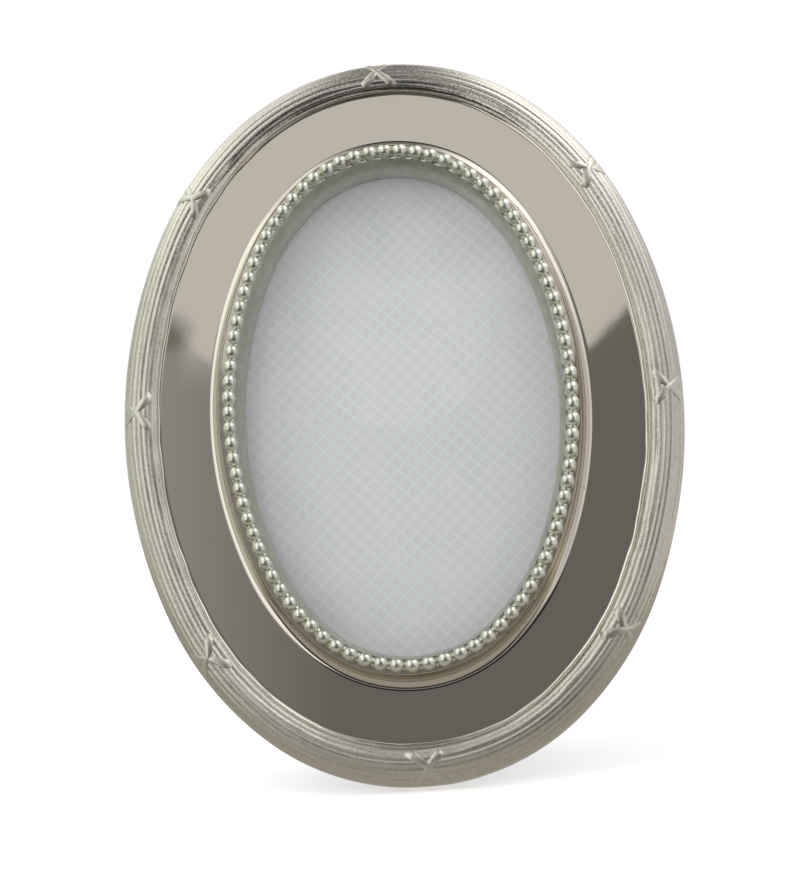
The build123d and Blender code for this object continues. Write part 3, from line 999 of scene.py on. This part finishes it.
def lattice_paper():
    """The pale paper, printed with a faint diamond lattice."""
    cells_per_metre = 300
    line_strength = 0.8
    lattice_turn = math.radians(45)
    material, tree, shader = new_material("lattice_paper", {"Roughness": 0.75})
    place = object_place(tree)
    flat = add_node(tree, "ShaderNodeMapping", Rotation=(math.radians(lean_angle - 90), 0, 0))
    tree.links.new(place, flat.inputs["Vector"])
    turned = add_node(tree, "ShaderNodeMapping", Rotation=(0, 0, lattice_turn))
    tree.links.new(flat.outputs["Vector"], turned.inputs["Vector"])
    cell = add_node(
        tree, "ShaderNodeTexVoronoi", voronoi_dimensions="2D", distance="CHEBYCHEV",
        Scale=cells_per_metre, Randomness=0,
    )
    tree.links.new(turned.outputs["Vector"], cell.inputs["Vector"])
    lines = ramp(tree, cell.outputs["Distance"], (0.30, (0, 0, 0)), (0.48, (1, 1, 1)))
    blot = noise(tree, place, scale=90, detail=4)
    base = ramp(tree, blot, (0.3, (0.675, 0.68, 0.685)), (0.7, (0.73, 0.725, 0.725)))
    mix = add_node(tree, "ShaderNodeMix", data_type="RGBA")
    tree.links.new(spread(tree, lines, 0, 1, 0, line_strength), mix.inputs["Factor"])
    tree.links.new(base, mix.inputs[6])
    mix.inputs[7].default_value = (0.76, 0.785, 0.795, 1)
    tree.links.new(mix.outputs[2], shader.inputs["Base Color"])
    bump(tree, shader, noise(tree, place, scale=2500, detail=2), depth=0.00001, strength=0.4)
    return material


def velvet():
    """The short pile of dark blue velvet, brushed a little lighter and darker."""
    settings = {
        "Roughness": 0.9,
        "Sheen Weight": 1,
        "Sheen Roughness": 0.35,
        "Sheen Tint": (0.35, 0.42, 0.75, 1),
    }
    material, tree, shader = new_material("velvet", settings)
    place = object_place(tree)
    brushed = noise(tree, place, scale=35, detail=5)
    tone = ramp(tree, brushed, (0.3, (0.010, 0.013, 0.028)), (0.7, (0.025, 0.032, 0.065)))
    tree.links.new(tone, shader.inputs["Base Color"])
    bump(tree, shader, noise(tree, place, scale=2600, detail=3), depth=0.00025, strength=0.9)
    return material


def satin_weave():
    """The satin of the ribbon, its fine threads across it."""
    woven_start, woven_end = 0.42, 0.44
    settings = {"Roughness": 0.38, "Anisotropic": 0.6, "Sheen Weight": 0.4}
    material, tree, shader = new_material("satin_weave", settings)
    ribbon = add_node(tree, "ShaderNodeUVMap", uv_map="ribbon_map").outputs["UV"]
    threads = noise(tree, stretched(tree, ribbon, (500, 12, 1)), scale=1, detail=2)
    tone = ramp(tree, threads, (0.3, (0.016, 0.022, 0.06)), (0.7, (0.04, 0.055, 0.14)))
    tree.links.new(tone, shader.inputs["Base Color"])
    away = away_from(tree, axes_of(tree, ribbon)[1], 1 / 2)
    woven_edge = bump(tree, shader, spread(tree, away, woven_start, woven_end), depth=0.00012)
    bump(tree, shader, threads, depth=0.00005, strength=0.6, under=woven_edge)
    return material


def grey_card():
    """Dense grey board with flecks of fibre."""
    material, tree, shader = new_material("fleck_card", {"Roughness": 0.9})
    flecks = noise(tree, object_place(tree), scale=700, detail=5)
    tone = ramp(tree, flecks, (0.35, (0.26, 0.24, 0.21)), (0.62, (0.42, 0.40, 0.36)))
    tree.links.new(tone, shader.inputs["Base Color"])
    bump(tree, shader, flecks, depth=0.00006, strength=0.7)
    return material


def brushed_brass():
    """Pressed brass, brushed one way and a little tarnished."""
    clearest, haziest = 0.22, 0.4
    material, tree, shader = new_material("brushed_brass", {"Metallic": 1})
    place = object_place(tree)
    brushing = noise(tree, stretched(tree, place, (300, 4500, 4500)), scale=1, detail=3)
    tarnish = noise(tree, place, scale=160, detail=4)
    tone = ramp(tree, tarnish, (0.35, (0.48, 0.34, 0.14)), (0.65, (0.78, 0.60, 0.30)))
    tree.links.new(tone, shader.inputs["Base Color"])
    tree.links.new(spread(tree, brushing, 0.3, 0.7, clearest, haziest), shader.inputs["Roughness"])
    bump(tree, shader, brushing, depth=0.00004, strength=0.5)
    return material


def soften_edges(piece):
    """Breaks the sharp edges of a fitting."""
    merge_distance, edge_width = 0.000005, 0.00012
    sharp = math.radians(50)
    weld = piece.modifiers.new("weld", "WELD")
    weld.merge_threshold = merge_distance
    edges = piece.modifiers.new("edges", "BEVEL")
    edges.width = edge_width
    edges.segments = 2
    edges.limit_method = "ANGLE"
    edges.angle_limit = sharp


def dress(material, *nodes):
    """Gives nodes of the model a material."""
    for node in nodes:
        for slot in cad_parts[node].material_slots:
            slot.material = material


frame_casting()
ribbon_ties()
bead_border()
glass_pane()
dress(lattice_paper(), "print_insert")
dress(grey_card(), "backing_card", "back_board", "strut_board")
back_velvet()
strut_velvet()
ribbon_stay()
fitting_starts = ("panel_", "strut_leaf", "strut_stay", "hinge", "turn_button", "button_")
fittings = [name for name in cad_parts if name.startswith(fitting_starts)]
dress(brushed_brass(), *fittings)
for name in fittings:
    soften_edges(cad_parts[name])


# The studio


def look_through(eye, target, roll, view_angle):
    """Sets the camera at an eye point, looking at a target, rolled about its view."""
    camera_data = bpy.data.cameras.new("camera")
    camera = bpy.data.objects.new("camera", camera_data)
    bpy.context.collection.objects.link(camera)
    forward = (target - eye).normalized()
    right = forward.cross(Vector((0, 0, 1))).normalized()
    up = right.cross(forward)
    turned_right = right * math.cos(roll) + up * math.sin(roll)
    turned_up = up * math.cos(roll) - right * math.sin(roll)
    camera.matrix_world = Matrix((turned_right, turned_up, -forward)).transposed().to_4x4()
    camera.location = eye
    camera_data.sensor_fit = "VERTICAL"
    camera_data.angle = view_angle
    bpy.context.scene.camera = camera


camera_azimuth = math.radians(3.82)
camera_distance = 0.65
camera_roll = math.radians(-4.22)
image_height = 874
focal_pixels = 2186
object_middle = Vector((0, 0, 0.106))
aim_aside = 0.0006
aim_drop = 0.0064
eye = object_middle + camera_distance * Vector((math.sin(camera_azimuth), -math.cos(camera_azimuth), 0))
look_through(
    eye,
    object_middle - Vector((aim_aside, 0, aim_drop)),
    camera_roll,
    2 * math.atan(image_height / 2 / focal_pixels),
)


def seen_rays(tree):
    """Gives one where a ray comes from the camera, a mirror or glass."""
    path = add_node(tree, "ShaderNodeLightPath")
    seen = path.outputs["Is Camera Ray"]
    for kind in ("Is Glossy Ray", "Is Transmission Ray"):
        seen = calculate(tree, "MAXIMUM", seen, path.outputs[kind])
    return seen


def make_world():
    """A white surround for the camera and mirrors, and a plain one for light."""
    light_strength, seen_strength = 0.62, 1.0
    world = bpy.data.worlds.new("studio")
    bpy.context.scene.world = world
    world.use_nodes = True
    background = world.node_tree.nodes["Background"]
    tree = world.node_tree
    strength = spread(tree, seen_rays(tree), 0, 1, light_strength, seen_strength)
    tree.links.new(strength, background.inputs["Strength"])
    background.inputs["Color"].default_value = (1, 1, 1, 1)


def make_floor():
    """A wide white floor that keeps the object's shadow."""
    floor_size, seen_strength = 6, 0.46
    bpy.ops.mesh.primitive_plane_add(size=floor_size, location=(0, 0, 0))
    floor = named("floor")
    settings = {"Base Color": (0.9, 0.9, 0.9, 1), "Roughness": 0.9}
    material, tree, shader = new_material("floor_white", settings)
    glow = add_node(tree, "ShaderNodeEmission")
    add = add_node(tree, "ShaderNodeAddShader")
    tree.links.new(spread(tree, seen_rays(tree), 0, 1, 0, seen_strength), glow.inputs["Strength"])
    tree.links.new(shader.outputs["BSDF"], add.inputs[0])
    tree.links.new(glow.outputs["Emission"], add.inputs[1])
    tree.links.new(add.outputs["Shader"], tree.nodes["Material Output"].inputs["Surface"])
    floor.data.materials.append(material)


def glowing_card(card, strength_of, tint_of):
    """Makes a card glow by rules over its place, and show in mirrors and nowhere else."""
    pick(card)
    bpy.ops.object.transform_apply(location=True, rotation=True, scale=True)
    material, tree, _ = new_material(card.name, {})
    axes = axes_of(tree, object_place(tree))
    glow = add_node(tree, "ShaderNodeEmission")
    tree.links.new(strength_of(tree, *axes), glow.inputs["Strength"])
    tree.links.new(tint_of(tree, *axes), glow.inputs["Color"])
    tree.links.new(glow.outputs["Emission"], tree.nodes["Material Output"].inputs["Surface"])
    card.data.materials.append(material)
    card.visible_camera = False
    card.visible_diffuse = False
    card.visible_transmission = False
    card.visible_volume_scatter = False
    card.visible_shadow = False


tent_half = 0.7
tent_top = 1.1


def distance_from(tree, across, up):
    """Gives how far a point is from a centre, from its steps across and up."""
    squares = calculate(
        tree, "ADD", calculate(tree, "MULTIPLY", across, across), calculate(tree, "MULTIPLY", up, up)
    )
    return calculate(tree, "SQRT", squares, 0)


def wall_glow(tree, x, z, in_front):
    """The walls and ceiling: a lamp's glow on the left in front, and shade over the middle."""
    plain, left_side, right_side, lamp = 0.74, 0.66, 0.66, 1.6
    left_fade, right_fade, lamp_fade = (-0.7, -0.4), (0.3, 0.5), (-0.52, -0.40)
    ceiling_depth, ceiling_blur = 0.02, 0.01
    ceiling = (tent_top - ceiling_depth - ceiling_blur, tent_top - ceiling_depth)
    over_middle, over_right, over_left = -0.5, 1.1, 0.95
    over_right_fade, over_left_fade = (0.05, 0.35), (-0.35, -0.15)
    side_walls, side_rise, side_gain = (0.68, 0.69), (0.55, 0.8), 0.8
    shade_rise, shade_fade, shade = (0.77, 0.83), (0.1, 0.25), 0.7
    walls = calculate(
        tree, "ADD",
        spread(tree, x, *left_fade, left_side, plain),
        spread(tree, x, *right_fade, 0, right_side - plain),
    )
    aside = calculate(
        tree, "ADD",
        spread(tree, x, *over_right_fade, over_middle, over_right),
        spread(tree, x, *over_left_fade, over_left, 0),
    )
    overhead = calculate(tree, "MULTIPLY", spread(tree, z, *ceiling), aside)
    walls = calculate(tree, "ADD", walls, overhead)
    from_middle = calculate(tree, "ABSOLUTE", x, 0)
    upper_side = calculate(
        tree, "MULTIPLY", spread(tree, from_middle, *side_walls), spread(tree, z, *side_rise, 0, side_gain)
    )
    walls = calculate(tree, "ADD", walls, upper_side)
    high = calculate(tree, "MULTIPLY", in_front, spread(tree, z, *shade_rise))
    high_middle = calculate(tree, "MULTIPLY", high, spread(tree, from_middle, *shade_fade, shade, 0))
    walls = calculate(tree, "SUBTRACT", walls, high_middle)
    lamp_glow = calculate(tree, "MULTIPLY", in_front, spread(tree, x, *lamp_fade, lamp - plain, 0))
    return calculate(tree, "ADD", walls, lamp_glow)


def dark_room(tree, x, z):
    """The dark room in front: deep near the table, and lighter to the left and the right."""
    room, deep_room, table_line = 0.185, 0.03, 0.3
    left_end, left_glow, right_end, haze_glow = 0.62, 1.35, 0.8, 0.22
    left_fade, glow_fade, right_fade = (-0.36, -0.10), (-0.32, -0.23), (0.34, 0.52)
    deep_top, table_fade = (0.25, 0.27), (0.08, 0.12)
    haze_rise, haze_start, haze_end = (0.535, 0.57), (-0.205, -0.196), (-0.17, -0.12)
    low_left = spread(tree, x, *left_fade, left_end, room)
    low_right = spread(tree, x, *right_fade, 0, right_end)
    deep = calculate(tree, "MULTIPLY", low_left, spread(tree, z, *deep_top, deep_room / room, 1))
    low = calculate(tree, "MAXIMUM", deep, spread(tree, x, *glow_fade, left_glow, 0))
    low = calculate(tree, "ADD", low, low_right)
    lit_table = calculate(tree, "MAXIMUM", low, spread(tree, z, *table_fade, table_line, 0))
    haze = calculate(
        tree, "MULTIPLY", spread(tree, z, *haze_rise, 0, haze_glow), spread(tree, x, *haze_end, 1, 0)
    )
    haze = calculate(tree, "MULTIPLY", haze, spread(tree, x, *haze_start))
    return calculate(tree, "ADD", lit_table, haze)


def dark_area(tree, x, z, in_front):
    """Gives one where the dark room shows in front, to the right of the lamp, around a bright round."""
    round_x, round_z, round_radius, round_blur = -0.049, 0.695, 0.1925, 0.003
    top_blur = 0.05
    lamp_edge = (-0.42, -0.38)
    below = calculate(tree, "MINIMUM", calculate(tree, "SUBTRACT", z, round_z), 0)
    away = distance_from(tree, calculate(tree, "SUBTRACT", x, round_x), below)
    outside = spread(tree, away, round_radius - round_blur, round_radius + round_blur)
    under = spread(tree, z, round_z, round_z + top_blur, 1, 0)
    dark = calculate(tree, "MULTIPLY", calculate(tree, "MULTIPLY", outside, under), in_front)
    return calculate(tree, "MULTIPLY", dark, spread(tree, x, *lamp_edge))


def dark_spot(tree, x, z, in_front):
    """Gives how much a small dim spot in front takes away."""
    spot_x, spot_z, spot_radius, spot_depth = -0.209, 0.582, 0.0125, 0.5
    to_spot = distance_from(
        tree, calculate(tree, "SUBTRACT", x, spot_x), calculate(tree, "SUBTRACT", z, spot_z)
    )
    spot = spread(tree, to_spot, spot_radius / 2, spot_radius * 3 / 2, spot_depth, 0)
    return calculate(tree, "MULTIPLY", spot, in_front)


def tent_strength(tree, x, y, z):
    """A light tent, brightest to the left, with a dark room in front below a round edge."""
    wall_depth = 0.001
    front_wall = (wall_depth - tent_half, 2 * wall_depth - tent_half)
    in_front = spread(tree, y, *front_wall, 1, 0)
    mix = add_node(tree, "ShaderNodeMix", data_type="FLOAT")
    tree.links.new(dark_area(tree, x, z, in_front), mix.inputs["Factor"])
    tree.links.new(wall_glow(tree, x, z, in_front), mix.inputs[2])
    tree.links.new(dark_room(tree, x, z), mix.inputs[3])
    kept = calculate(tree, "SUBTRACT", 1, dark_spot(tree, x, z, in_front))
    return calculate(tree, "MULTIPLY", mix.outputs[0], kept)


def tent_tint(tree, x, y, z):
    """Greenish white on the left wall, plain in front and a little cool on the right wall."""
    greenish, plain, cool = (0.95, 1.0, 0.91), (1, 1, 1), (0.98, 0.97, 1.0)
    across = spread(tree, x, -tent_half, tent_half)
    return ramp(tree, across, (0.01, greenish), (0.03, plain), (0.97, plain), (0.99, cool))


def light_tent():
    """The walls and ceiling that the metal mirrors."""
    sunk = 0.01
    bpy.ops.mesh.primitive_cube_add(size=2, location=(0, 0, tent_top / 2 - sunk))
    tent = named("light_tent")
    tent.scale = (tent_half, tent_half, tent_top / 2)
    glowing_card(tent, tent_strength, tent_tint)


def table_strength(tree, x, y, z):
    """A table, lit near the frame and to both sides, and dark in front."""
    dark, lit, left_glow, right_glow = 0.04, 0.42, 0.5, 0.8
    near_fade, left_fade, right_fade = (-0.16, -0.11), (-0.5, -0.3), (0.14, 0.3)
    near = spread(tree, y, *near_fade, dark, lit)
    left = spread(tree, x, *left_fade, left_glow, 0)
    right = spread(tree, x, *right_fade, 0, right_glow)
    return calculate(tree, "MAXIMUM", near, calculate(tree, "ADD", left, right))


def table_tint(tree, x, y, z):
    """A brownish white, a little paler to the right."""
    return ramp(tree, x, (0, (1.0, 0.95, 0.86)), (1, (1.0, 0.96, 0.92)))


def table_card():
    """The table top that the metal mirrors."""
    above_floor = 0.0004
    bpy.ops.mesh.primitive_plane_add(size=2, location=(0, 0, above_floor))
    table = named("table_card")
    table.scale = (tent_half, tent_half, 1)
    glowing_card(table, table_strength, table_tint)


def soft_lamp(name, place, target, size, power):
    """Adds a square soft lamp that points at a target and shows in neither metal nor glass."""
    data = bpy.data.lights.new(name, "AREA")
    data.size = size
    data.energy = power
    lamp = bpy.data.objects.new(name, data)
    bpy.context.collection.objects.link(lamp)
    lamp.visible_glossy = False
    lamp.visible_transmission = False
    lamp.location = place
    lamp.rotation_euler = (target - Vector(place)).to_track_quat("-Z", "Y").to_euler()


make_world()
make_floor()
light_tent()
table_card()
lamp_size = 0.9
left_place, right_place = (-0.9, -0.7, 0.9), (0.9, -0.5, 0.5)
soft_lamp("left_lamp", left_place, object_middle, lamp_size, power=5)
soft_lamp("right_lamp", right_place, object_middle, lamp_size, power=2)

scene = bpy.context.scene
scene.view_settings.view_transform = "Standard"
